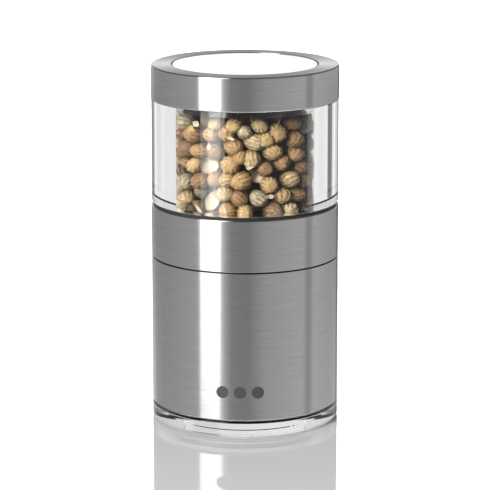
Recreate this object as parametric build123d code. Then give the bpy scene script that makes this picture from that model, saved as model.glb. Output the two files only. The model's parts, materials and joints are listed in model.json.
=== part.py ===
from build123d import *
import os
from math import atan, degrees

# A hand mill for peppercorns and other whole spices. Turning the steel drive ring and the clear container
# against the steel sleeve turns a ceramic cone inside a ceramic ring. +Z is up and the origin is the middle
# of the foot's underside. All lengths are millimetres.

# Envelope
body_radius = 25.0
total_height = 96.0
foot_top = 4.4
sleeve_bottom, sleeve_top = 4.7, 44.25
ring_bottom, ring_top = 44.65, 58.5
lid_bottom = 86.9
lid_radius = 25.05
sheet = 0.8
edge_round, seam_round, ring_round = 0.2, 0.08, 0.45

# Clear foot
collar_radius, collar_bore, collar_top, bowl_floor = 21.3, 18.0, 11.5, 2.6
foot_groove_bottom, foot_groove_top = 8.0, 9.2

# Silicone rings, and the grooves they sit in
groove_depth, seal_play, seal_gap, seal_round = 0.6, 0.05, 0.1, 0.35

# Clear container
wall_radius = 24.95
bore_radius = 18.6
shoulder = 59.2
spigot_radius, spigot_bottom = 22.3, 50.5
neck_radius, neck_bottom, neck_top = 23.2, 86.7, 91.5

# Lid
disc_radius, disc_bottom, disc_top = 19.3, 94.0, 95.85
disc_gap = 0.3
plug_radius, plug_wall, plug_bottom = 18.3, 1.5, 84.6
plug_groove_bottom, plug_groove_top = 88.2, 89.4

# Mill housing and its hopper
housing_radius = 24.15
housing_bottom, housing_top = 5.0, 44.0
skirt_bore = 21.9
bearing_radius = 21.0
bearing_play = 0.08
washer_inner, washer_outer, washer_top = 21.3, 23.9, 45.15
retainer_inner, retainer_outer, retainer_bottom, retainer_top, retainer_arc = 20.5, 21.9, 40.0, 41.0, 336
throat_radius, throat_bottom, throat_top = 10.6, 24.0, 26.4
funnel_radius, funnel_top = 20.2, 37.0
web = 2.0

# Burrs: both cones share one slope, and the radial gap is the grind at rest
burr_outer_radius = 16.5
burr_bottom, burr_top = 13.6, 22.0
burr_mouth_radius, burr_throat_radius = 12.2, 9.4
burr_gap = 0.55
cone_bottom, cone_top = 12.6, 23.6
seat_bottom = 12.2
hexagon_reach = 5.4
slope = (burr_mouth_radius - burr_throat_radius) / (burr_top - burr_bottom)
cone_tilt = degrees(atan(slope))

# Shaft, hub and knob
shaft_side = 5.0
thread_radius = 2.0
slide_play = 0.05
shaft_bottom, square_bottom, bridge_bottom, bridge_top, shaft_top = 5.2, 12.2, 45.6, 50.4, 54.8
shaft_flange_bottom, shaft_flange_radius = 44.6, 5.0
clip_inner, clip_bottom, clip_top = 1.5, 5.7, 6.3
washer_thickness = 0.6
hub_bottom, hub_top = 11.8, 24.2
knob_radius, knob_bottom, knob_top = 8.5, 5.5, 11.4
insert_radius, insert_bottom = 3.2, 7.0
spring_radius, spring_wire, spring_turns = 4.15, 0.45, 9

# Fasteners
screw_circle, screw_shank, screw_head = 19.9, 0.9, 1.5
screw_count, screw_angle = 3, 30


def turned(corners, rounds=(), arc=360):
    """A solid turned about Z from a closed outline of (radius, height) corners.

    rounds lists (corner number, fillet radius).
    """
    outline = Plane.XZ * make_face(Polyline(*corners, close=True))
    for number, radius in rounds:
        radial, height = corners[number]
        corner = outline.vertices().sort_by_distance((radial, 0, height))[0]
        outline = fillet(corner, radius)
    return revolve(outline, Axis.Z, revolution_arc=arc)


def tube(inner, outer, bottom, top, rounds=(), arc=360):
    """A plain ring with a rectangular section."""
    return turned([(inner, bottom), (outer, bottom), (outer, top), (inner, top)], rounds, arc)


def around(count, shape, first_angle=0):
    """Copies of a shape, evenly spaced about Z."""
    return [Rot(0, 0, first_angle + 360 * step / count) * shape for step in range(count)]


def grooves(count, radius, height, tilt, skew, width, length):
    """Square bars lying edge-down along a cone, which cut its V grooves."""
    bar = Rot(0, -tilt, 0) * Rot(skew, 0, 0) * Rot(0, 0, 45) * Box(width, width, length)
    return around(count, Pos(radius, 0, height) * bar)


# ---- Foot: a clear cover over the grinder's outlet ----

def base_cover():
    """A clear cup whose thick flange is the foot and whose collar plugs into the housing's skirt."""
    groove_radius = collar_radius - groove_depth
    return turned(
        [(0, 0), (body_radius, 0), (body_radius, foot_top), (collar_radius, foot_top),
         (collar_radius, foot_groove_bottom), (groove_radius, foot_groove_bottom),
         (groove_radius, foot_groove_top), (collar_radius, foot_groove_top),
         (collar_radius, collar_top), (collar_bore, collar_top), (collar_bore, bowl_floor), (0, bowl_floor)],
        rounds=[(1, 0.8), (2, 0.35), (8, 0.5), (9, 0.5), (10, 1.0)])


def seal_ring(groove_radius, bore, groove_bottom, groove_top):
    """A silicone ring that fills a groove and stops just short of the bore around it."""
    return tube(groove_radius + seal_play, bore - seal_play, groove_bottom + seal_gap, groove_top - seal_gap,
                rounds=[(1, seal_round), (2, seal_round)])


def cover_seal():
    """The ring in the collar's groove."""
    return seal_ring(collar_radius - groove_depth, skirt_bore, foot_groove_bottom, foot_groove_top)


# ---- Lower body: sleeve, housing and the fixed burr ----

def lower_sleeve():
    """The long steel sleeve that the hand holds."""
    return tube(body_radius - sheet, body_radius, sleeve_bottom, sleeve_top,
                rounds=[(1, edge_round), (2, seam_round)])


def mill_housing():
    """The moulded housing: bearing at the top, hopper funnel in the middle, open skirt below."""
    bearing_bore = bearing_radius + bearing_play
    groove_low, groove_high = retainer_bottom - 0.05, retainer_top + 0.05
    groove_radius = retainer_outer + 0.05
    housing = turned(
        [(housing_radius, housing_bottom), (housing_radius, housing_top), (bearing_bore, housing_top),
         (bearing_bore, groove_high), (groove_radius, groove_high), (groove_radius, groove_low),
         (bearing_bore, groove_low), (bearing_bore, 37.5), (funnel_radius, funnel_top),
         (throat_radius, throat_top), (throat_radius, throat_bottom), (throat_radius + web, throat_bottom),
         (throat_radius + web, 25.6), (skirt_bore, 35.9), (skirt_bore, housing_bottom)])
    boss_radius, boss_height, pilot_depth = 2.1, 11.0, 6.0
    boss = Pos(screw_circle, 0, throat_bottom + boss_height / 2) * Cylinder(boss_radius, boss_height)
    pilot = Pos(screw_circle, 0, throat_bottom + pilot_depth / 2) * Cylinder(screw_shank, pilot_depth)
    housing += around(screw_count, boss, screw_angle)
    return housing - around(screw_count, pilot, screw_angle)


def bearing_washer():
    """The slippery washer that the turning top runs on."""
    return tube(washer_inner, washer_outer, housing_top, washer_top)


def retaining_ring():
    """A split spring ring that keeps the turning top in the housing."""
    ring = tube(retainer_inner, retainer_outer, retainer_bottom, retainer_top, arc=retainer_arc)
    return Rot(0, 0, (360 - retainer_arc) / 2) * ring


def grinder_carrier():
    """The carrier that holds the fixed burr under the hopper's throat."""
    flange_radius, flange_bottom, seat_outer = 21.5, burr_top, 18.2
    seat_bore = burr_outer_radius + 0.05
    carrier = turned(
        [(throat_radius, throat_bottom), (throat_radius, flange_bottom), (seat_bore, flange_bottom),
         (seat_bore, seat_bottom), (seat_outer, seat_bottom), (seat_outer, flange_bottom),
         (flange_radius, flange_bottom), (flange_radius, throat_bottom)])
    hole = Pos(screw_circle, 0, 23) * Cylinder(screw_shank + 0.1, 6)
    return carrier - around(screw_count, hole, screw_angle)


def carrier_screws():
    """Pan-head screws that hold the carrier, as a group of separate solids."""
    head_height, shank_top = 1.2, 29.0
    head = Pos(0, 0, burr_top - head_height / 2) * Cylinder(screw_head, head_height)
    shank_length = shank_top - burr_top
    shank = Pos(0, 0, burr_top + shank_length / 2) * Cylinder(screw_shank - 0.02, shank_length)
    slots = [Pos(0, 0, burr_top - head_height) * Rot(0, 0, turn) * Box(2.0, 0.4, 1.0) for turn in (0, 90)]
    screw = Pos(screw_circle, 0, 0) * (head + shank - slots)
    return Compound(children=around(screw_count, screw, screw_angle))


def outer_burr():
    """The fixed ceramic ring, with a grooved conical bore that widens downwards."""
    ring = turned(
        [(burr_mouth_radius, burr_bottom), (burr_outer_radius, burr_bottom), (burr_outer_radius, burr_top),
         (burr_throat_radius, burr_top)], rounds=[(1, 0.3), (2, 0.3)])
    middle_radius = (burr_mouth_radius + burr_throat_radius) / 2
    middle_height = (burr_bottom + burr_top) / 2
    return ring - grooves(24, middle_radius, middle_height, cone_tilt, 24, 0.8, 14)


def burr_clamp():
    """The ring that keeps the fixed burr in its seat, with finger notches."""
    bore, notch_count = 13.3, 6
    ring = tube(bore, burr_outer_radius, seat_bottom, burr_bottom)
    notch = Pos(bore, 0, seat_bottom) * Box(2.0, 3.0, 1.4)
    return ring - around(notch_count, notch)


# ---- Upper body: everything that turns with the container ----

def drive_ring():
    """The steel band above the seam."""
    return tube(body_radius - sheet, body_radius, ring_bottom, ring_top,
                rounds=[(1, seam_round), (2, ring_round)])


def drive_collar():
    """The moulding in the steel band: it holds the container and turns in the housing on its spigot."""
    spigot_low, socket_play, groove_radius = 38.4, 0.05, 20.2
    collar_bottom, recess_bottom, recess_radius = 45.2, 48.4, 20.0
    return turned(
        [(housing_radius, ring_top), (housing_radius, collar_bottom), (bearing_radius, collar_bottom),
         (bearing_radius, 41.3), (groove_radius, 41.3), (groove_radius, 39.7), (bearing_radius, 39.7),
         (bearing_radius, spigot_low), (bore_radius, spigot_low), (bore_radius, recess_bottom),
         (recess_radius, recess_bottom), (recess_radius, spigot_bottom),
         (spigot_radius + socket_play, spigot_bottom), (spigot_radius + socket_play, ring_top)])


def container():
    """The thick clear wall, with a spigot for the drive collar below and a neck for the lid above."""
    return turned(
        [(bore_radius, spigot_bottom), (spigot_radius, spigot_bottom), (spigot_radius, shoulder),
         (wall_radius, shoulder), (wall_radius, neck_bottom), (neck_radius, neck_bottom),
         (neck_radius, neck_top), (bore_radius, neck_top)],
        rounds=[(3, 0.4), (4, 0.3), (6, 0.4), (7, 0.4)])


def container_seal():
    """A thin black seal, squeezed between the container's shoulder and the steel band."""
    squeeze = 0.05
    return tube(spigot_radius + 0.1, body_radius - 0.4, ring_top, shoulder + squeeze)


def drive_bridge():
    """Three arms that carry the container's turn to the shaft and let the spice fall past."""
    arm_width, arm_bottom, arm_reach = 3.2, 47.0, 18.4
    rim_inner, rim_outer, rim_bottom, hub_radius = 17.6, 19.95, 48.45, 5.2
    rim = tube(rim_inner, rim_outer, rim_bottom, bridge_top)
    hub = tube(0, hub_radius, bridge_bottom, bridge_top, rounds=[(1, 0.6)])
    arm_height = bridge_top - arm_bottom
    arm = Pos(arm_reach / 2, 0, arm_bottom + arm_height / 2) * Box(arm_reach, arm_width, arm_height)
    hole_side, hole_length = shaft_side + 0.05, 8
    hole = Pos(0, 0, (bridge_bottom + bridge_top) / 2) * Box(hole_side, hole_side, hole_length)
    return rim + hub + around(3, arm, 60) - hole


def shaft():
    """Square steel shaft with a spring flange and a threaded stub at each end."""
    square_top = bridge_top - 0.2
    square_length = square_top - square_bottom
    square = Pos(0, 0, square_bottom) * extrude(RectangleRounded(shaft_side, shaft_side, 0.6), square_length)
    flange = tube(0, shaft_flange_radius, shaft_flange_bottom, bridge_bottom)
    stub = tube(0, thread_radius, shaft_bottom, shaft_top, rounds=[(1, 0.4), (2, 0.4)])
    clip_groove = tube(clip_inner, thread_radius + 1, clip_bottom, clip_top)
    return square + flange + stub - clip_groove


def nut_washer():
    """Washer under the shaft's top nut."""
    outer = 4.5
    return tube(thread_radius + 0.1, outer, bridge_top, bridge_top + washer_thickness)


def shaft_nut():
    """Hexagon nut that holds the shaft to the bridge."""
    flats, corner_radius, height, chamfer = 3.5, 4.1, 3.2, 0.6
    low = bridge_top + washer_thickness
    high = low + height
    blank = Pos(0, 0, low) * extrude(RegularPolygon(flats, 6, major_radius=False), height)
    crown = turned([(0, low), (corner_radius, low), (corner_radius, high - chamfer),
                    (corner_radius - chamfer, high), (0, high)])
    return (blank & crown) - tube(0, thread_radius + 0.02, low - 1, high + 1)


def end_clip():
    """Spring clip in the shaft's lower groove, which stops the knob from coming off."""
    outer, mouth, play = 3.4, 2.2, 0.05
    ring = tube(clip_inner + play, outer, clip_bottom + play, clip_top - play)
    return ring - Pos(outer / 2 + 0.8, 0, clip_bottom) * Box(outer + 1.6, mouth, 2)


def spring():
    """Coil spring around the shaft, from the hub up to the shaft's flange."""
    clear = 0.05
    low = hub_top + spring_wire + clear
    high = shaft_flange_bottom - spring_wire - clear
    path = Pos(0, 0, low) * Helix((high - low) / spring_turns, high - low, spring_radius)
    return sweep(Plane(path @ 0, z_dir=path % 0) * Circle(spring_wire), path=path)


# ---- Rotor: the moving burr, which slides on the shaft ----

def inner_burr():
    """The ceramic cone, finely grooved below and fluted at the top to draw the spice in."""
    low_radius = burr_mouth_radius - burr_gap + slope * (burr_bottom - cone_bottom)
    high_radius = low_radius - slope * (cone_top - cone_bottom)
    cone = turned([(0, cone_bottom), (low_radius, cone_bottom), (high_radius, cone_top), (0, cone_top)],
                  rounds=[(1, 0.3), (2, 0.6)])
    fine_height, flute_height = 15.5, 22.0
    fine_radius = low_radius - slope * (fine_height - cone_bottom)
    flute_radius = low_radius - slope * (flute_height - cone_bottom)
    cone -= grooves(30, fine_radius, fine_height, cone_tilt, -24, 0.7, 8)
    cone -= grooves(5, flute_radius, flute_height, cone_tilt, -32, 2.2, 8)
    hexagon = Pos(0, 0, cone_bottom) * extrude(RegularPolygon(hexagon_reach, 6, major_radius=False), 12)
    return cone - hexagon


def burr_hub():
    """Hexagonal hub between the ceramic cone and the square shaft."""
    play = 0.05
    flange_radius = 9.0
    flange = tube(0, flange_radius, hub_bottom, cone_bottom)
    body_height = hub_top - cone_bottom
    hexagon = RegularPolygon(hexagon_reach - play, 6, major_radius=False)
    body = Pos(0, 0, cone_bottom) * extrude(hexagon, body_height)
    side = shaft_side + 2 * slide_play
    return flange + body - Pos(0, 0, 18) * Box(side, side, 20)


def thrust_washer():
    """Thin washer between the hub and the knob."""
    outer, thickness = 6.0, 0.3
    return tube(thread_radius + 0.2, outer, hub_bottom - thickness, hub_bottom)


# ---- Knob: sets the gap between the burrs ----

def adjust_knob():
    """Scalloped knob, with a pointer notch and a recess for the clip."""
    recess_radius, recess_top = 4.6, insert_bottom
    knob = turned(
        [(insert_radius, knob_top), (insert_radius, recess_top), (recess_radius, recess_top),
         (recess_radius, knob_bottom), (knob_radius, knob_bottom), (knob_radius, knob_top)],
        rounds=[(4, 0.8), (5, 0.4)])
    scallop = Pos(knob_radius + 0.7, 0, 8.5) * Cylinder(1.2, 10)
    pointer = Pos(6.6, 0, knob_bottom) * Box(3.0, 0.8, 0.8)
    return knob - around(16, scallop, 11.25) - pointer


def knob_insert():
    """Brass threaded insert that runs on the shaft's lower stub."""
    return tube(thread_radius + 0.05, insert_radius, insert_bottom, knob_top)


# ---- Lid ----

def lid_ring():
    """Steel shell with a turned-in top flange around the disc."""
    wall = 0.9
    flange_bottom = total_height - 1.0
    opening = disc_radius + disc_gap
    return turned(
        [(lid_radius - wall, lid_bottom), (lid_radius, lid_bottom), (lid_radius, total_height),
         (opening, total_height), (opening, flange_bottom), (lid_radius - wall, flange_bottom)],
        rounds=[(1, 0.3), (2, 0.45), (3, 0.12)])


def lid_disc():
    """White disc, flush in the lid's top."""
    return tube(0, disc_radius, disc_bottom, disc_top, rounds=[(2, 0.12)])


def lid_core():
    """Clear moulding in the steel shell: a rim over the container's neck and a plug that is open below."""
    core_radius, rim_bottom, flange_bottom, core_top = 24.1, 87.1, 91.8, 95.0
    rim_bore = neck_radius + 0.1
    recess = disc_radius + 0.2
    plug_bore, web_bottom = plug_radius - plug_wall, disc_bottom - 1.5
    groove_radius = plug_radius - groove_depth
    return turned(
        [(0, web_bottom), (plug_bore, web_bottom), (plug_bore, plug_bottom), (plug_radius, plug_bottom),
         (plug_radius, plug_groove_bottom), (groove_radius, plug_groove_bottom),
         (groove_radius, plug_groove_top), (plug_radius, plug_groove_top),
         (plug_radius, flange_bottom), (rim_bore, flange_bottom),
         (rim_bore, rim_bottom), (core_radius, rim_bottom), (core_radius, core_top), (recess, core_top),
         (recess, disc_bottom), (0, disc_bottom)],
        rounds=[(3, 0.4)])


def lid_seal():
    """The ring around the plug."""
    return seal_ring(plug_radius - groove_depth, bore_radius, plug_groove_bottom, plug_groove_top)


makers = [
    base_cover, cover_seal,
    lower_sleeve, mill_housing, bearing_washer, retaining_ring, grinder_carrier, carrier_screws,
    outer_burr, burr_clamp,
    drive_ring, drive_collar, container, container_seal, drive_bridge, shaft, nut_washer, shaft_nut,
    end_clip, spring,
    inner_burr, burr_hub, thrust_washer,
    adjust_knob, knob_insert,
    lid_ring, lid_disc, lid_core, lid_seal,
]

os.makedirs("parts", exist_ok=True)
for maker in makers:
    export_step(maker(), f"parts/{maker.__name__}.step")
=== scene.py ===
import bpy
import bmesh
import json
import math
import numpy as np
from mathutils import Euler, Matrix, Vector


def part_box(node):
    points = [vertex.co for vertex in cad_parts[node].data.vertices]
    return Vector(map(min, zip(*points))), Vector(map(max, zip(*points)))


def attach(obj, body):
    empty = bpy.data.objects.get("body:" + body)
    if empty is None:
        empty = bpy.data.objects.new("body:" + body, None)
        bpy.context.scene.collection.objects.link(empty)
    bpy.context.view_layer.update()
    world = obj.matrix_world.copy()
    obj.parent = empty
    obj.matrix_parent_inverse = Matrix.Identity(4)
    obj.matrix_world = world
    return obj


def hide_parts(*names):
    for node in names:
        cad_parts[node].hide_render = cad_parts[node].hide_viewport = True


# The looks of a hand mill full of coriander seeds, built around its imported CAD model. Lengths are metres,
# worked out from millimetres times MM. +Z is up, and -Y is the front.

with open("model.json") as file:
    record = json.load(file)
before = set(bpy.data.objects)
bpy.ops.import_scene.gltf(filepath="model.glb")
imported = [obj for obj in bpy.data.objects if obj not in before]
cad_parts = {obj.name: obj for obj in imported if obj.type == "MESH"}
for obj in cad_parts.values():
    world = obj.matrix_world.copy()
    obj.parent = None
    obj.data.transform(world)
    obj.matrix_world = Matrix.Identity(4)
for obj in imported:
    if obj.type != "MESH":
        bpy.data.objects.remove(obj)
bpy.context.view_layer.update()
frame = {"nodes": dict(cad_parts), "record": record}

MM = 0.001


def top(node):
    """Height of a CAD node's upper end."""
    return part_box(node)[1].z


def bottom(node):
    """Height of a CAD node's lower end."""
    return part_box(node)[0].z


def radius(node):
    """Outer radius of a CAD node turned about Z."""
    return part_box(node)[1].x


# ---- Mesh helpers ----

def rounded(corners, steps=6):
    """Outline points from (radius, height[, fillet]) corners: each corner with a fillet becomes an arc."""
    points = []
    count = len(corners)
    for index, corner in enumerate(corners):
        here = Vector(corner[:2])
        fillet = corner[2] if len(corner) > 2 else 0
        if fillet == 0:
            points.append(here)
            continue
        back = (Vector(corners[index - 1][:2]) - here).normalized()
        onward = (Vector(corners[(index + 1) % count][:2]) - here).normalized()
        half = back.angle(onward) / 2
        centre = here + (back + onward).normalized() * (fillet / math.sin(half))
        start = here + back * (fillet / math.tan(half)) - centre
        end = here + onward * (fillet / math.tan(half)) - centre
        sweep = start.angle_signed(end)
        for step in range(steps + 1):
            turn = -sweep * step / steps
            cos, sin = math.cos(turn), math.sin(turn)
            points.append(centre + Vector((start.x * cos - start.y * sin, start.x * sin + start.y * cos)))
    return points


def new_object(name, mesh, smooth_angle=32):
    """Links a mesh as a smooth-shaded object whose sharp corners stay sharp."""
    obj = bpy.data.objects.new(name, mesh)
    bpy.context.scene.collection.objects.link(obj)
    mesh.shade_smooth()
    mesh.set_sharp_from_angle(angle=math.radians(smooth_angle))
    return obj


def turned(name, corners, segments=288):
    """A piece turned about Z from a closed outline."""
    outline = rounded(corners)
    angles = np.arange(segments) * (2 * math.pi / segments)
    ring = np.array(outline)
    xyz = np.stack([ring[:, None, 0] * np.cos(angles), ring[:, None, 0] * np.sin(angles),
                    np.broadcast_to(ring[:, None, 1], (len(ring), segments))], axis=-1)
    rows = np.arange(len(ring))[:, None] * segments
    ahead = np.roll(rows, -1, axis=0)
    column = np.arange(segments)
    beside = (column + 1) % segments
    quads = np.stack([rows + column, rows + beside, ahead + beside, ahead + column], axis=-1)
    mesh = bpy.data.meshes.new(name)
    mesh.from_pydata(xyz.reshape(-1, 3).tolist(), [], quads.reshape(-1, 4).tolist())
    shape = bmesh.new()
    shape.from_mesh(mesh)
    bmesh.ops.remove_doubles(shape, verts=shape.verts, dist=1e-8)
    bmesh.ops.dissolve_degenerate(shape, edges=shape.edges, dist=1e-9)
    bmesh.ops.recalc_face_normals(shape, faces=shape.faces)
    shape.to_mesh(mesh)
    shape.free()
    obj = new_object(name, mesh)
    even = obj.modifiers.new("even_normals", "WEIGHTED_NORMAL")
    even.keep_sharp = True
    even.weight = 100
    return obj


# ---- Material helpers ----

class Nodes:
    """A small builder for the node tree of a material or a world."""

    def __init__(self, owner, shader):
        owner.use_nodes = True
        self.owner = owner
        self.tree = owner.node_tree
        self.shader = self.tree.nodes[shader]

    def add(self, kind, **settings):
        node = self.tree.nodes.new(kind)
        for key, value in settings.items():
            setattr(node, key, value)
        return node

    def link(self, source, target):
        self.tree.links.new(source, target)

    def math(self, operation, first, second=None):
        node = self.add("ShaderNodeMath", operation=operation)
        for socket, value in zip(node.inputs, (first, second)):
            if isinstance(value, bpy.types.NodeSocket):
                self.link(value, socket)
            elif value is not None:
                socket.default_value = value
        return node.outputs[0]

    def noise(self, vector, scale, detail=3.0, roughness=0.5):
        node = self.add("ShaderNodeTexNoise")
        node.inputs["Scale"].default_value = scale
        node.inputs["Detail"].default_value = detail
        node.inputs["Roughness"].default_value = roughness
        self.link(vector, node.inputs["Vector"])
        return node.outputs["Fac"]

    def ramp(self, factor, *stops):
        """A colour ramp from (place, grey or colour) stops."""
        node = self.add("ShaderNodeValToRGB")
        elements = node.color_ramp.elements
        while len(elements) < len(stops):
            elements.new(0.5)
        for element, (place, colour) in zip(elements, stops):
            element.position = place
            element.color = (*colour, 1) if isinstance(colour, tuple) else (colour, colour, colour, 1)
        self.link(factor, node.inputs["Fac"])
        return node.outputs["Color"]

    def mix(self, first, second, factor, blend_type="MIX"):
        """Blends two colours. The factor is a number or a socket."""
        node = self.add("ShaderNodeMix", data_type="RGBA", blend_type=blend_type)
        if isinstance(factor, bpy.types.NodeSocket):
            self.link(factor, node.inputs["Factor"])
        else:
            node.inputs["Factor"].default_value = factor
        # The colour sockets: a mix node has one set of sockets for each kind of value.
        first_colour, second_colour, mixed = node.inputs[6], node.inputs[7], node.outputs[2]
        self.link(first, first_colour)
        self.link(second, second_colour)
        return mixed

    def axes(self, vector):
        """The X, Y and Z of a vector."""
        node = self.add("ShaderNodeSeparateXYZ")
        self.link(vector, node.inputs[0])
        return node.outputs

    def distance_from_axis(self, x, y):
        return self.math("SQRT", self.math("ADD", self.math("MULTIPLY", x, x), self.math("MULTIPLY", y, y)))

    def bump(self, height, strength, distance):
        node = self.add("ShaderNodeBump")
        node.inputs["Strength"].default_value = strength
        node.inputs["Distance"].default_value = distance
        self.link(height, node.inputs["Height"])
        self.link(node.outputs["Normal"], self.shader.inputs["Normal"])

    def set(self, **values):
        for key, value in values.items():
            self.shader.inputs[key.replace("_", " ")].default_value = value

    def place(self):
        """The point being shaded, in the row frame."""
        return self.add("ShaderNodeTexCoord").outputs["Object"]


def new_material(name):
    return Nodes(bpy.data.materials.new(name), "Principled BSDF")


def brushed_steel():
    """Steel brushed around the mill's axis, on the walls and on the flat top alike."""
    n = new_material("brushed_steel")
    n.set(Metallic=1.0, Anisotropic=0.93, Anisotropic_Rotation=0.25)
    x, y, z = n.axes(n.place())
    radial = n.distance_from_axis(x, y)
    grain = n.add("ShaderNodeCombineXYZ")
    around, line_pitch = 3.0, 0.15 * MM
    n.link(n.math("MULTIPLY", n.math("DIVIDE", x, radial), around), grain.inputs[0])
    n.link(n.math("MULTIPLY", n.math("DIVIDE", y, radial), around), grain.inputs[1])
    n.link(n.math("MULTIPLY", n.math("ADD", z, radial), 1 / line_pitch), grain.inputs[2])
    lines = n.noise(grain.outputs[0], 1.0, detail=2.5, roughness=0.6)
    smears = n.noise(grain.outputs[0], 0.22, detail=2.0)
    n.link(n.ramp(lines, (0.3, 0.555), (0.7, 0.635)), n.shader.inputs["Base Color"])
    n.link(n.math("ADD", 0.17, n.math("MULTIPLY", smears, 0.06)), n.shader.inputs["Roughness"])
    tangent = n.add("ShaderNodeTangent", direction_type="RADIAL", axis="Z")
    n.link(tangent.outputs[0], n.shader.inputs["Tangent"])
    n.bump(lines, 0.03, 0.01 * MM)
    return n.owner


def clear_acrylic():
    """Polished clear acrylic."""
    n = new_material("clear_acrylic")
    n.set(Transmission_Weight=1.0, IOR=1.49, Roughness=0.0, Base_Color=(0.985, 0.993, 0.993, 1))
    return n.owner


def moulded(name, colour, roughness=0.45, grain=0.25 * MM):
    """Moulded plastic or rubber with a fine texture."""
    n = new_material(name)
    speck = n.noise(n.place(), 1 / grain, detail=2.0)
    dark = tuple(channel * 0.85 for channel in colour)
    light = tuple(min(1, channel * 1.12) for channel in colour)
    n.link(n.ramp(speck, (0.25, dark), (0.75, light)), n.shader.inputs["Base Color"])
    n.link(n.math("ADD", roughness - 0.06, n.math("MULTIPLY", speck, 0.12)), n.shader.inputs["Roughness"])
    n.bump(speck, 0.12, 0.05 * MM)
    return n.owner


def white_gloss():
    """Glossy white lacquer, faintly uneven."""
    n = new_material("white_gloss")
    cloud = n.noise(n.place(), 90.0, detail=2.0)
    n.link(n.ramp(cloud, (0.2, 0.86), (0.8, 0.90)), n.shader.inputs["Base Color"])
    n.set(Roughness=0.12, Coat_Weight=0.4, Coat_Roughness=0.04)
    return n.owner


def turned_metal(name, colour, roughness):
    """Plain machined metal with faint turning marks."""
    n = new_material(name)
    n.set(Metallic=1.0)
    marks_per_metre = 9000.0
    marks = n.noise(n.axes(n.place())["Z"], marks_per_metre, detail=2.0)
    dark = tuple(channel * 0.88 for channel in colour)
    n.link(n.ramp(marks, (0.3, dark), (0.7, colour)), n.shader.inputs["Base Color"])
    n.link(n.math("ADD", roughness - 0.05, n.math("MULTIPLY", marks, 0.1)), n.shader.inputs["Roughness"])
    return n.owner


# ---- Camera, lights and floor ----

camera_distance, camera_height, camera_pitch = 0.725, 0.2068, math.radians(12.46)
camera_lens, sensor = 202.7, 36.0


def make_camera():
    """A long lens in front of the mill and a little above it."""
    data = bpy.data.cameras.new("camera")
    data.lens, data.sensor_width = camera_lens, sensor
    camera = bpy.data.objects.new("camera", data)
    camera.location = (0, -camera_distance, camera_height)
    camera.rotation_euler = (math.pi / 2 - camera_pitch, 0, 0)
    bpy.context.scene.collection.objects.link(camera)
    bpy.context.scene.camera = camera


def softbox(name, azimuth, elevation, distance, width, height, power, aim=0.05):
    """A rectangular light that faces the mill's axis at the height aim.

    Azimuth 0 is the camera's side, and positive is to its right.
    """
    data = bpy.data.lights.new(name, "AREA")
    data.shape, data.size, data.size_y, data.energy = "RECTANGLE", width, height, power
    light = bpy.data.objects.new(name, data)
    turn, lift = math.radians(azimuth), math.radians(elevation)
    away = Vector((math.sin(turn) * math.cos(lift), -math.cos(turn) * math.cos(lift), math.sin(lift)))
    light.location = away * distance + Vector((0, 0, aim))
    light.rotation_mode = "QUATERNION"
    light.rotation_quaternion = away.to_track_quat("Z", "Y")
    bpy.context.scene.collection.objects.link(light)
    return light


def make_world():
    """A studio of grey walls, by direction: what the steel and the clear wall reflect."""
    world = bpy.data.worlds.new("studio")
    bpy.context.scene.world = world
    n = Nodes(world, "Background")
    x, y, z = n.axes(n.add("ShaderNodeTexCoord").outputs["Generated"])
    azimuth = n.math("ARCTAN2", x, n.math("MULTIPLY", y, -1))
    turn = n.math("ADD", 0.5, n.math("DIVIDE", azimuth, 2 * math.pi))
    lift = n.math("ADD", 0.5, n.math("DIVIDE", z, 2))

    def at(degrees):
        """An azimuth's place on the ramp of walls."""
        return 0.5 + degrees / 360

    def height_at(degrees):
        """An elevation's place on the ramp of levels."""
        return 0.5 + math.sin(math.radians(degrees)) / 2

    walls = n.ramp(
        turn,
        (at(-180), 0.98), (at(-166), 1.12), (at(-152), 1.05), (at(-147), 0.76), (at(-121), 0.68),
        (at(-95), 0.74), (at(-62), 0.82), (at(-33), 1.22), (at(-18), 0.50), (at(4), 0.46), (at(25), 0.74),
        (at(78), 0.96), (at(83), 0.62), (at(89), 0.62), (at(93), 1.00), (at(130), 0.88), (at(155), 0.88),
        (at(158), 0.42), (at(168), 0.42), (at(171), 0.95), (at(180), 0.98))
    levels = n.ramp(
        lift,
        (height_at(-90), 1.20), (height_at(-55), 1.00), (height_at(-38), 0.41), (height_at(-24), 0.34),
        (height_at(-14.5), 0.37), (height_at(-13), 0.14), (height_at(-9), 0.14), (height_at(-7.5), 0.38),
        (height_at(0), 0.37), (height_at(6.5), 0.25), (height_at(9.6), 0.25), (height_at(11.5), 0.10))
    n.link(n.mix(walls, levels, 1.0, "MULTIPLY"), n.shader.inputs["Color"])
    n.shader.inputs["Strength"].default_value = 2.0


def make_floor():
    """A plain pale floor with a mirror finish, a hair below the foot."""
    below_foot = 0.1 * MM
    bpy.ops.mesh.primitive_plane_add(size=12, location=(0, 0, -below_foot))
    floor = bpy.context.object
    floor.name = "floor"
    n = new_material("floor_white")
    cloud = n.noise(n.place(), 3.0, detail=1.0)
    n.link(n.ramp(cloud, (0.0, 0.42), (1.0, 0.44)), n.shader.inputs["Base Color"])
    n.set(Roughness=0.04, IOR=1.5)
    floor.data.materials.append(n.owner)
    floor.visible_glossy = False
    floor.visible_transmission = False
    return floor


def light_only(light, receiver):
    """Keeps a light's effect to one receiver."""
    lit = bpy.data.collections.new(light.name + "_receivers")
    lit.objects.link(receiver)
    light.light_linking.receiver_collection = lit


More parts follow.
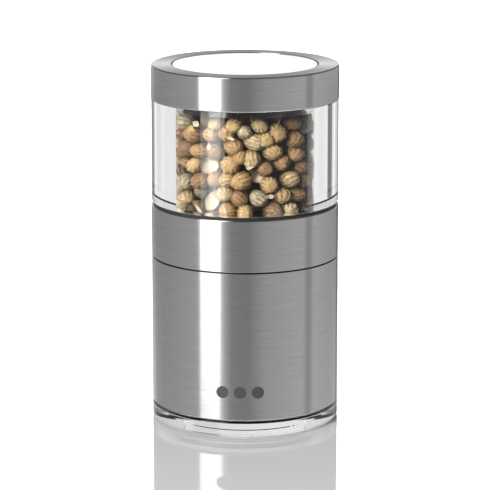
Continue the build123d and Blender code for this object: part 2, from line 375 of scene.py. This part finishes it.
def clear_card(name, azimuth, elevation, spread, tall, radiance, aim):
    """A card behind the mill that only the clear parts show, sized by the degrees it spans."""
    distance = 1.2
    width = 2 * distance * math.tan(math.radians(spread / 2))
    height = 2 * distance * math.tan(math.radians(tall / 2))
    power = radiance * math.pi * width * height
    card = softbox(name, azimuth, elevation, distance, width, height, power, aim)
    card.visible_glossy = False
    card.visible_diffuse = False


def light_mill(floor):
    """A bright strip that the steel shows, soft light from above and the sides, and the floor's backdrop."""
    softbox("strip", azimuth=-42.7, elevation=21.5, distance=1.0, width=0.52, height=1.34, power=8)
    key = softbox("key", azimuth=-36, elevation=25, distance=0.9, width=0.3, height=0.3, power=16)
    key.visible_glossy = False
    overhead = softbox("overhead", azimuth=150, elevation=70, distance=1.2, width=1.0, height=1.0, power=3)
    overhead.visible_glossy = False
    backdrop = softbox("backdrop", azimuth=180, elevation=13, distance=1.6, width=2.4, height=0.75, power=22)
    light_only(backdrop, floor)
    fill = softbox("fill", azimuth=48, elevation=14, distance=0.9, width=0.4, height=0.5, power=0.6)
    fill.visible_glossy = False
    flange_card = softbox("flange_card", azimuth=180, elevation=8, distance=1.5, width=0.8, height=0.14,
                          power=0.20, aim=top("lid_ring"))
    flange_card.visible_diffuse = False
    flange_card.visible_transmission = False


def light_clear_parts():
    """Cards low behind the container's wall, and higher ones for the foot."""
    wall_middle = (top("container") + bottom("container")) / 2
    for name, azimuth, spread in (("wall_card_left", -149, 64), ("wall_card_right", 128, 50),
                                  ("wall_card_edge", 176, 12)):
        clear_card(name, azimuth, elevation=-10.5, spread=spread, tall=8, radiance=0.64, aim=wall_middle)
    for name, azimuth, spread, radiance in (("rear_card", 180, 55, 0.60), ("rear_card_left", -124, 52, 0.58),
                                            ("rear_card_right", 124, 52, 0.50)):
        clear_card(name, azimuth, elevation=17, spread=spread, tall=12, radiance=radiance, aim=0.0)


make_camera()
make_world()
light_mill(make_floor())
light_clear_parts()
bpy.context.scene.view_settings.view_transform = "Standard"
bpy.context.scene.cycles.caustics_refractive = False


# ---- The mill's outside: pieces that stand for CAD nodes, and the finish of every material slot ----

finishes = {
    "brushed_steel": brushed_steel(),
    "clear_acrylic": clear_acrylic(),
    "white_gloss": white_gloss(),
    "black_rubber": moulded("black_rubber", (0.012, 0.012, 0.012), 0.5),
    "clear_silicone": moulded("milky_silicone", (0.62, 0.64, 0.65), 0.35),
    "black_plastic": moulded("black_plastic", (0.02, 0.02, 0.021), 0.42),
    "grey_plastic": moulded("grey_plastic", (0.11, 0.112, 0.116), 0.45),
    "ceramic": moulded("ceramic", (0.80, 0.77, 0.70), 0.38, 0.12 * MM),
    "bright_steel": turned_metal("bright_steel", (0.62, 0.62, 0.63), 0.26),
    "brass": turned_metal("brass", (0.70, 0.50, 0.20), 0.3),
    "white_nylon": moulded("white_nylon", (0.78, 0.78, 0.75), 0.4),
}
slot_of = {part["node"]: part["material_slot"] for part in frame["record"]["subparts"]}
bodies = frame["record"]["behaviour"]["bodies"]
body_of = {node: body for body, nodes in bodies.items() for node in nodes}


def dress(piece, node):
    """Gives a piece its node's finish and body, and shows it in the node's place."""
    piece.data.materials.clear()
    piece.data.materials.append(finishes[slot_of[node]])
    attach(piece, body_of[node])
    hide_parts(node)
    if slot_of[node] == "clear_acrylic":
        piece.visible_shadow = False
    return piece


def steel_band(node, low_round, high_round):
    """A band of sheet steel around the body."""
    sheet = 0.8 * MM
    out, low, high = radius(node), bottom(node), top(node)
    dress(turned(node + "_shell", [
        (out - sheet, low), (out, low, low_round), (out, high, high_round), (out - sheet, high)]), node)


def lid_shell():
    """The steel lid: a wall, and a flange turned in around the disc's opening."""
    wall, flange, disc_gap = 0.9 * MM, 1.0 * MM, 0.3 * MM
    low_round, high_round, opening_round = 0.3 * MM, 0.45 * MM, 0.12 * MM
    out, low, high = radius("lid_ring"), bottom("lid_ring"), top("lid_ring")
    opening = radius("lid_disc") + disc_gap
    dress(turned("lid_shell", [
        (out - wall, low), (out, low, low_round), (out, high, high_round), (opening, high, opening_round),
        (opening, high - flange), (out - wall, high - flange)]), "lid_ring")


def lid_top():
    """The white disc in the lid."""
    edge_round = 0.12 * MM
    out, low, high = radius("lid_disc"), bottom("lid_disc"), top("lid_disc")
    dress(turned("lid_top", [(0, low), (out, low), (out, high, edge_round), (0, high)]), "lid_disc")


# The gap between pieces of one clear part, and the radii of the container's bore and neck and the lid's plug.
hairline = 0.04 * MM
bore, neck, plug = 18.6 * MM, 23.2 * MM, 18.3 * MM


def container_pieces():
    """The clear wall with its neck, the spigot below it, and the black seal around the spigot.

    A hairline gap parts the wall from the spigot and the seal, so that the wall has a polished underside.
    """
    spigot, round_edge, seal_round, squeeze = 22.3 * MM, 0.4 * MM, 0.05 * MM, 0.05 * MM
    shoulder = top("container_seal") - squeeze
    spigot_top = shoulder - hairline
    low, high, wall = bottom("container"), top("container"), radius("container")
    wall_top = bottom("lid_ring") - hairline
    dress(turned("container_wall", [
        (bore, shoulder), (wall, shoulder, round_edge), (wall, wall_top), (neck, wall_top),
        (neck, high, round_edge), (bore, high, round_edge)]), "container")
    dress(turned("container_spigot", [
        (bore, low), (spigot, low), (spigot, spigot_top), (bore, spigot_top)]), "container")
    seal_in, seal_out, seal_low = spigot + hairline, radius("container_seal"), bottom("container_seal")
    dress(turned("seal_band", [
        (seal_in, seal_low), (seal_out, seal_low, seal_round), (seal_out, spigot_top, seal_round),
        (seal_in, spigot_top)]), "container_seal")


def lid_plug():
    """The clear plug: a cup with a groove for its seal, and a skirt that the lid's wall is held on."""
    wall, web, low_round, disc_play = 1.5 * MM, 1.5 * MM, 0.12 * MM, 0.2 * MM
    groove_low, groove_high, groove_deep = 88.2 * MM, 89.4 * MM, 0.6 * MM
    skirt_low, slot_top, skirt_in = 87.1 * MM, 91.8 * MM, neck + 0.1 * MM
    low, out, high, disc_low = bottom("lid_core"), radius("lid_core"), top("lid_core"), bottom("lid_disc")
    disc_seat = radius("lid_disc") + disc_play
    dress(turned("lid_plug", [
        (0, disc_low - web), (plug - wall, disc_low - web), (plug - wall, low), (plug, low, low_round),
        (plug, groove_low), (plug - groove_deep, groove_low), (plug - groove_deep, groove_high),
        (plug, groove_high), (plug, slot_top), (skirt_in, slot_top), (skirt_in, skirt_low), (out, skirt_low),
        (out, high), (disc_seat, high), (disc_seat, disc_low), (0, disc_low)]), "lid_core")


def foot_pieces():
    """The clear foot: a thick plate, hollowed a little underneath, with a bowl in its top, and a collar.

    The collar goes up inside the mill and has a groove for its seal.
    """
    out, high, collar, bowl = radius("base_cover"), top("base_cover"), 21.3 * MM, 18.0 * MM
    flange_top, bowl_floor = 4.4 * MM, 2.6 * MM
    low_round, high_round, bowl_round, floor_round = 0.8 * MM, 0.75 * MM, 0.1 * MM, 0.5 * MM
    step_out, step_high, step_wide = 14.5 * MM, 0.12 * MM, 0.35 * MM
    dress(turned("foot_plate", [
        (0, step_high), (step_out - step_wide, step_high), (step_out, 0), (out, 0, low_round),
        (out, flange_top, high_round), (bowl, flange_top, bowl_round), (bowl, bowl_floor, floor_round),
        (0, bowl_floor)]), "base_cover")
    groove_low, groove_high, groove_deep, collar_round = 8.0 * MM, 9.2 * MM, 0.6 * MM, 0.5 * MM
    dress(turned("foot_collar", [
        (bowl, flange_top + hairline), (collar, flange_top + hairline), (collar, groove_low),
        (collar - groove_deep, groove_low), (collar - groove_deep, groove_high), (collar, groove_high),
        (collar, high, collar_round), (bowl, high, collar_round)]), "base_cover")


def printed_mark():
    """A plain printed mark low on the sleeve: three round dots in a row."""
    skin, ink, sunk = radius("lower_sleeve"), 0.015 * MM, 0.02 * MM
    dot, spacing, sideways, height = 1.65 * MM, 4.7 * MM, -1.3 * MM, 12.3 * MM
    print_black = moulded("print_black", (0.035, 0.035, 0.036), 0.5)
    for number in range(3):
        piece = turned(f"mark_{number + 1}", [
            (0, ink), (dot / 3, ink), (dot * 2 / 3, ink), (dot, ink), (dot, -sunk), (0, -sunk)], segments=48)
        for vertex in piece.data.vertices:
            turn = (vertex.co.x + sideways + (number - 1) * spacing) / skin
            reach = skin + vertex.co.z
            vertex.co = (reach * math.sin(turn), -reach * math.cos(turn), height + vertex.co.y)
        piece.data.materials.append(print_black)
        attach(piece, "lower_body")


steel_band("lower_sleeve", 0.1 * MM, 0.08 * MM)
steel_band("drive_ring", 0.08 * MM, 0.45 * MM)
lid_shell()
lid_top()
container_pieces()
lid_plug()
foot_pieces()
printed_mark()
for name, node in frame["nodes"].items():
    node.data.materials.clear()
    node.data.materials.append(finishes[slot_of[name]])

# ---- The spice: coriander, whole, split and broken ----

# The pile fills the bore from its bottom up, and goes on into the hollow of the lid's plug.
plug_bore = 16.8 * MM
pile_bottom, pile_top = 50.6 * MM, 88.8 * MM
plug_low, seed_gap = bottom("lid_core"), 0.08 * MM
seed_count, split_share, lobes = 640, 0.07, 11
rng = np.random.default_rng(11)

# The seeds that show most: millimetres to the right of the middle, height, radius, and tone. Tones run from
# 0, dark brown, to 0.9, pale straw, and on to 1, grey green.
front_seeds = [
    (2.2, 78.0, 2.45, 0.80), (-3.5, 72.0, 2.5, 0.55), (-0.9, 67.8, 2.75, 0.52), (6.6, 75.4, 2.35, 0.60),
    (8.9, 72.2, 2.2, 0.34), (4.8, 70.8, 2.0, 0.18), (5.7, 66.6, 2.3, 0.62), (-1.4, 63.1, 2.15, 0.20),
    (3.2, 63.1, 2.3, 0.95), (0.0, 59.5, 2.1, 0.62), (6.6, 59.7, 2.3, 0.12), (-4.3, 80.3, 2.0, 0.35),
    (-8.0, 79.7, 2.1, 0.62), (-2.7, 76.7, 2.25, 0.40), (-7.1, 75.3, 2.2, 0.15), (-6.9, 68.0, 2.2, 0.34),
    (7.3, 80.2, 2.8, 0.60), (13.6, 81.8, 2.9, 0.98), (1.5, 73.6, 2.35, 0.70), (10.5, 67.6, 2.3, 0.72)]
# Half seeds, given the same way: their open side faces out.
front_halves = [(-8.0, 62.0, 2.8, 0.75), (-8.5, 71.5, 2.1, 0.70), (3.4, 69.0, 1.7, 0.60)]


def cube_sphere(cuts):
    """Unit directions and quads of a cube with cuts by cuts faces a side, blown up to a ball."""
    shape = bmesh.new()
    bmesh.ops.create_cube(shape, size=2)
    bmesh.ops.subdivide_edges(shape, edges=shape.edges, cuts=cuts - 1, use_grid_fill=True)
    points = np.array([vert.co for vert in shape.verts])
    quads = np.array([[vert.index for vert in face.verts] for face in shape.faces])
    shape.free()
    points = np.tan(points * math.pi / 4)
    return points / np.linalg.norm(points, axis=1, keepdims=True), quads


def on_the_wall(sideways, height, size):
    """The centre of a seed that touches the bore's front."""
    reach = bore - size * MM
    across = sideways * MM
    return across, -math.sqrt(reach ** 2 - across ** 2), height * MM


def settle(radii, placed):
    """Centres of round seeds that fill the bore and the lid's plug. The placed ones come first and stay."""
    count = len(radii)
    turn = rng.uniform(0, 2 * math.pi, count)
    reach = (bore - radii) * np.sqrt(rng.uniform(0, 1, count))
    height = rng.uniform(pile_bottom, pile_top, count)
    centres = np.stack([reach * np.cos(turn), reach * np.sin(turn), height], axis=1)
    centres[:len(placed)] = placed
    near = radii[:, None] + radii[None, :]
    rounds, fall, stiffness = 240, 0.012 * MM, 0.38
    for _ in range(rounds):
        centres[:, 2] -= fall
        gaps = centres[:, None, :] - centres[None, :, :]
        distance = np.sqrt((gaps ** 2).sum(axis=2)) + 1e-9
        overlap = np.clip(near - distance, 0, None)
        np.fill_diagonal(overlap, 0)
        centres += stiffness * (gaps * (overlap / distance)[:, :, None]).sum(axis=1)
        in_plug = centres[:, 2] > plug_low
        room = np.where(in_plug, plug_bore, bore) - radii
        flat = np.hypot(centres[:, 0], centres[:, 1]) + 1e-9
        centres[:, :2] *= np.minimum(1, room / flat)[:, None]
        under_plug = ~in_plug & (np.minimum(flat, room) + radii > plug_bore)
        ceiling = np.where(under_plug, plug_low, pile_top) - radii
        centres[:, 2] = np.clip(centres[:, 2], pile_bottom + radii, ceiling)
        centres[:len(placed)] = placed
    return centres


def waves(way, pitch, seed):
    """Smooth random unevenness over a ball's directions, about -1 to 1."""
    draw = np.random.default_rng(int(seed * 1000))
    height = np.zeros(len(way))
    for _ in range(4):
        aim = draw.normal(size=3)
        height += np.sin(way @ (aim / np.linalg.norm(aim)) * pitch + draw.uniform(0, 6)) / 4
    return height


def whole_seed(way, wobble):
    """A lumpy ball with wavy lobes from pole to pole, a beak at one pole and a scar at the other.

    Returns the points, how far inside the husk each is, and how deep in a groove.
    """
    across = np.hypot(way[:, 0], way[:, 1])
    turn = np.arctan2(way[:, 1], way[:, 0])
    lean = np.arccos(np.clip(way[:, 2], -1, 1))
    sway = 0.5 * np.sin(3.1 * lean + wobble) + 0.22 * np.sin(8 * lean + 2 * wobble)
    groove = (1 - np.abs(np.cos(lobes / 2 * turn + sway))) ** 1.3 * across ** 0.5
    dent = np.exp(-((1 - way @ turn_matrix((wobble, 2 * wobble, 0))[0]) / 0.22) ** 2)
    beak = 0.14 * np.exp(-(lean / 0.15) ** 2)
    scar = 0.08 * np.exp(-((math.pi - lean) / 0.22) ** 2)
    size = 1 - 0.08 * groove + 0.07 * waves(way, 3.0, wobble) + 0.03 * waves(way, 9.0, wobble + 7)
    size += beak - scar - 0.10 * dent * (wobble % 1 > 0.5)
    return way * size[:, None] * (1, 1, 1.06), np.zeros(len(way)), groove


def split_seed(way, wobble):
    """Half a seed, split from pole to pole and hollow: its open side faces -X."""
    outside, _, groove = whole_seed(way, wobble)
    inner = way[:, 0] < -0.02
    bowl = way * (-0.74, 0.91, 0.95)
    bowl[:, 0] += 0.02
    points = np.where(inner[:, None], bowl, outside)
    rim = np.exp(-(way[:, 0] / 0.2) ** 2)
    points[:, 0] += 0.09 * waves(way, 7.0, wobble + 3) * rim
    return points, inner.astype(float), np.where(inner, 0.25 * groove, groove)


def husk_flake(length, width, wobble):
    """A thin curved scrap of husk: a leaf-shaped patch of a ball, as an outer and an inner skin.

    Returns the points, the quads, and how far inside the husk each point is.
    """
    thickness = 0.07
    steps, rows = 12, 6
    along = np.linspace(-1, 1, steps + 1)
    side = np.linspace(-1, 1, rows + 1)
    u, v = np.meshgrid(along, side, indexing="ij")
    taper = np.sqrt(np.clip(1 - u ** 2, 0.01, 1)) * (1 + 0.2 * np.sin(5 * u + wobble))
    lean, swing = u * length, v * taper * width
    skin = np.stack([np.cos(lean) * np.cos(swing), np.cos(lean) * np.sin(swing), np.sin(lean)], axis=-1)
    outer = skin.reshape(-1, 3)
    inner = outer * (1 - thickness)
    index = np.arange(outer.shape[0]).reshape(steps + 1, rows + 1)
    front = np.stack([index[:-1, :-1], index[:-1, 1:], index[1:, 1:], index[1:, :-1]], axis=-1).reshape(-1, 4)
    back = front[:, ::-1] + len(outer)
    loop = np.concatenate([index[0, :], index[1:, -1], index[-1, -2::-1], index[-2:0:-1, 0]])
    ahead = np.roll(loop, -1)
    edge = np.stack([ahead, loop, loop + len(outer), ahead + len(outer)], axis=-1)
    points = np.concatenate([outer, inner])
    inside = np.repeat([0.0, 1.0], len(outer))
    return points, np.concatenate([front, back, edge]), inside


def stalk(start, end, thick):
    """A thin stalk, bent a little, with a knob at its far end."""
    sides, steps = 7, 9
    way = (end - start) / np.linalg.norm(end - start)
    across = np.cross(way, (0.3, 1.0, 0.1))
    across /= np.linalg.norm(across)
    other = np.cross(way, across)
    rings = []
    for step in range(steps + 1):
        part = step / steps
        middle = start + (end - start) * part + across * math.sin(math.pi * part) * thick
        size = thick * (1.0 - 0.35 * part + 0.5 * math.exp(-((part - 1) / 0.08) ** 2))
        size *= 0.15 if step in (0, steps) else 1
        for side in range(sides):
            turn = 2 * math.pi * side / sides
            rings.append(middle + (across * math.cos(turn) + other * math.sin(turn)) * size)
    index = np.arange(len(rings)).reshape(steps + 1, sides)
    beside = np.roll(index, -1, axis=1)
    quads = np.stack([index[:-1], beside[:-1], beside[1:], index[1:]], axis=-1).reshape(-1, 4)
    return np.array(rings), quads


def turn_matrix(angles):
    """A rotation from its turns about X, Y and Z."""
    return np.array(Euler(angles).to_matrix())


def facing_out(azimuth, tilt):
    """Turns a split seed's open side away from the mill's axis, give or take the tilt."""
    return turn_matrix((0, 0, azimuth + math.pi)) @ turn_matrix(tilt)


def seed_material():
    """Coriander husk: brown to straw by each seed's tone, streaked and flecked, darkened by painted shade
    deeper in the pile, and pale inside a split.
    """
    n = new_material("coriander")

    def stored(name, output):
        return n.add("ShaderNodeAttribute", attribute_name=name).outputs[output]

    tone, inside, groove = (stored(name, "Fac") for name in ("seed_tone", "seed_inside", "seed_groove"))
    offset = n.add("ShaderNodeCombineXYZ")
    for socket, step in zip(offset.inputs, (37.0, 91.0, 53.0)):
        n.link(n.math("MULTIPLY", tone, step), socket)
    shifted = n.add("ShaderNodeVectorMath", operation="ADD")
    n.link(stored("seed_place", "Vector"), shifted.inputs[0])
    n.link(offset.outputs[0], shifted.inputs[1])
    spot = shifted.outputs[0]
    drawn_out = n.add("ShaderNodeVectorMath", operation="MULTIPLY")
    n.link(spot, drawn_out.inputs[0])
    drawn_out.inputs[1].default_value = (8.0, 8.0, 1.4)
    blotch = n.noise(spot, 1.7, detail=3.0)
    fleck = n.noise(spot, 6.5, detail=4.0, roughness=0.65)
    streak = n.noise(drawn_out.outputs[0], 1.0, detail=3.0, roughness=0.6)

    shade = n.math("ADD", n.math("MULTIPLY", tone, 0.80), n.math("MULTIPLY", blotch, 0.20))
    husk = n.ramp(
        shade,
        (0.08, (0.23, 0.135, 0.066)), (0.25, (0.36, 0.210, 0.100)), (0.42, (0.50, 0.300, 0.125)),
        (0.58, (0.62, 0.410, 0.180)), (0.72, (0.68, 0.510, 0.275)), (0.82, (0.76, 0.630, 0.410)),
        (0.90, (0.38, 0.320, 0.190)))
    # Painted shade: the husk's colour darkens away from the bore and the top of the pile.
    painted_shade = painted_pile_shade(n)
    lines = n.ramp(groove, (0.0, 0.95), (0.35, 0.80), (0.85, 0.44))
    grain = n.ramp(streak, (0.34, 0.42), (0.47, 0.95), (0.75, 1.25))
    marks = n.ramp(fleck, (0.34, 0.40), (0.46, 1.0), (0.80, 1.15))
    for layer, amount in ((painted_shade, 1.0), (lines, 1.0), (grain, 0.9), (marks, 0.8)):
        husk = n.mix(husk, layer, amount, "MULTIPLY")
    pale = n.ramp(blotch, (0.3, (0.40, 0.31, 0.20)), (0.7, (0.62, 0.55, 0.43)))
    n.link(n.mix(husk, pale, inside), n.shader.inputs["Base Color"])
    n.set(Roughness=0.40)
    n.bump(n.math("ADD", streak, fleck), 0.8, 0.22 * MM)
    return n.owner


def painted_pile_shade(n):
    """Painted shade: a grey that darkens from the bore or the top of the pile inwards, so that the gaps look
    deep.
    """
    x, y, z = n.axes(n.place())
    from_wall = n.math("SUBTRACT", bore, n.distance_from_axis(x, y))
    depth = n.math("MINIMUM", from_wall, n.math("SUBTRACT", pile_top, z))
    full_depth = 5 * MM
    return n.ramp(n.math("DIVIDE", depth, full_depth), (0.0, 0.95), (0.16, 0.80), (0.36, 0.43), (0.7, 0.15))


def joined_seeds(name, parts, material):
    """One piece from many seeds, each (points, quads, local places, tone, inside, groove)."""
    points, quads, places, tones, insides, grooves = zip(*parts)
    counts = [len(part) for part in points]
    starts = np.cumsum([0] + counts)
    corners = np.concatenate([part + start for part, start in zip(quads, starts)])
    mesh = bpy.data.meshes.new(name)
    mesh.vertices.add(sum(counts))
    mesh.vertices.foreach_set("co", np.concatenate(points).ravel())
    mesh.loops.add(corners.size)
    mesh.loops.foreach_set("vertex_index", corners.ravel())
    mesh.polygons.add(len(corners))
    mesh.polygons.foreach_set("loop_start", np.arange(0, corners.size, 4))
    mesh.update(calc_edges=True)
    place = mesh.attributes.new("seed_place", "FLOAT_VECTOR", "POINT")
    place.data.foreach_set("vector", np.concatenate(places).ravel())
    for label, values in (("seed_tone", np.repeat(tones, counts)), ("seed_inside", np.concatenate(insides)),
                          ("seed_groove", np.concatenate(grooves))):
        mesh.attributes.new(label, "FLOAT", "POINT").data.foreach_set("value", values)
    obj = new_object(name, mesh, smooth_angle=75)
    mesh.materials.append(material)
    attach(obj, "upper_body")
    return obj


def kept_in(points):
    """Holds points inside the bore, and inside the plug above its lower edge."""
    room = np.where(points[:, 2] > plug_low - seed_gap, plug_bore, bore) - seed_gap
    over = np.hypot(points[:, 0], points[:, 1]) / room
    points[:, :2] /= np.maximum(over, 1)[:, None]
    return points


def seeds():
    """Every seed as (points, quads, local places, tone, inside, groove). Those that show are finer."""
    chosen = front_seeds + front_halves
    placed = np.array([on_the_wall(*row[:3]) for row in chosen])
    radii = rng.triangular(1.6, 2.15, 2.6, seed_count) * MM
    radii[:len(chosen)] = np.array([row[2] for row in chosen]) * MM
    tones = rng.random(seed_count)
    tones[:len(chosen)] = [row[3] for row in chosen]
    centres = settle(radii, placed)
    fine, coarse = cube_sphere(16), cube_sphere(6)
    outer_reach, upper_layer = 11.5 * MM, 5 * MM
    parts = []
    for number, (centre, size, tone) in enumerate(zip(centres, radii, tones)):
        reach = math.hypot(centre[0], centre[1])
        shows = reach > outer_reach or centre[2] > pile_top - upper_layer
        way, quads = fine if shows else coarse
        wobble = rng.uniform(0, 6)
        azimuth = math.atan2(centre[1], centre[0])
        loose = rng.uniform(-0.9, 0.9, 3)
        split = shows and rng.random() < split_share
        if number < len(chosen):
            split = number >= len(front_seeds)
            loose *= 0.45
        local, inside, groove = (split_seed if split else whole_seed)(way, wobble)
        turn = facing_out(azimuth, loose) if split else turn_matrix(rng.uniform(-3.1, 3.1, 3))
        stretch = rng.uniform(0.93, 1.07, 3)
        points = kept_in((local * stretch * size) @ turn.T + centre)
        parts.append((points, quads, local, tone, inside, groove))
    return parts


def flakes():
    """Scraps of husk near the wall, and a few stalks, in the same form as the seeds."""
    flake_count, parts = 44, []
    for _ in range(flake_count):
        points, quads, inside = husk_flake(rng.uniform(0.6, 1.0), rng.uniform(0.22, 0.45), rng.uniform(0, 6))
        turn = rng.uniform(0, 2 * math.pi)
        curve, reach = rng.uniform(1.5, 2.3) * MM, bore - rng.uniform(0.1, 0.9) * MM
        height = rng.uniform(pile_bottom + 3 * MM, plug_low - 2 * MM)
        roll = turn_matrix((rng.uniform(-1.6, 1.6), rng.uniform(-0.5, 0.5), 0))
        if rng.random() < 0.5:
            roll = turn_matrix((0, 0, math.pi)) @ roll
        local = (points - (0.9, 0, 0)) @ roll.T @ turn_matrix((0, 0, turn)).T
        centre = np.array([reach * math.cos(turn), reach * math.sin(turn), height])
        placed = kept_in(local * curve + centre)
        groove = 0.3 * np.ones(len(points))
        parts.append((placed, quads, points, rng.uniform(0.45, 0.8), inside, groove))
    stems = [((7.0, -15.6, 79.6), (8.4, -16.0, 84.0)), ((-12.4, 12.9, 62.0), (-9.5, 15.2, 65.4)),
             ((16.9, 4.0, 70.2), (17.4, 1.0, 74.1))]
    for start, end in stems:
        points, quads = stalk(np.array(start) * MM, np.array(end) * MM, thick=0.24 * MM)
        none = np.zeros(len(points))
        parts.append((kept_in(points), quads, points / MM, 0.62, none, none))
    return parts


def spice():
    """The spice as a few pieces, each with no more faces than the limit."""
    material, limit = seed_material(), 94000
    batch, faces, number = [], 0, 1
    for part in seeds() + flakes():
        if faces + len(part[1]) > limit:
            joined_seeds(f"coriander_{number}", batch, material)
            batch, faces, number = [], 0, number + 1
        batch.append(part)
        faces += len(part[1])
    joined_seeds(f"coriander_{number}", batch, material)


spice()
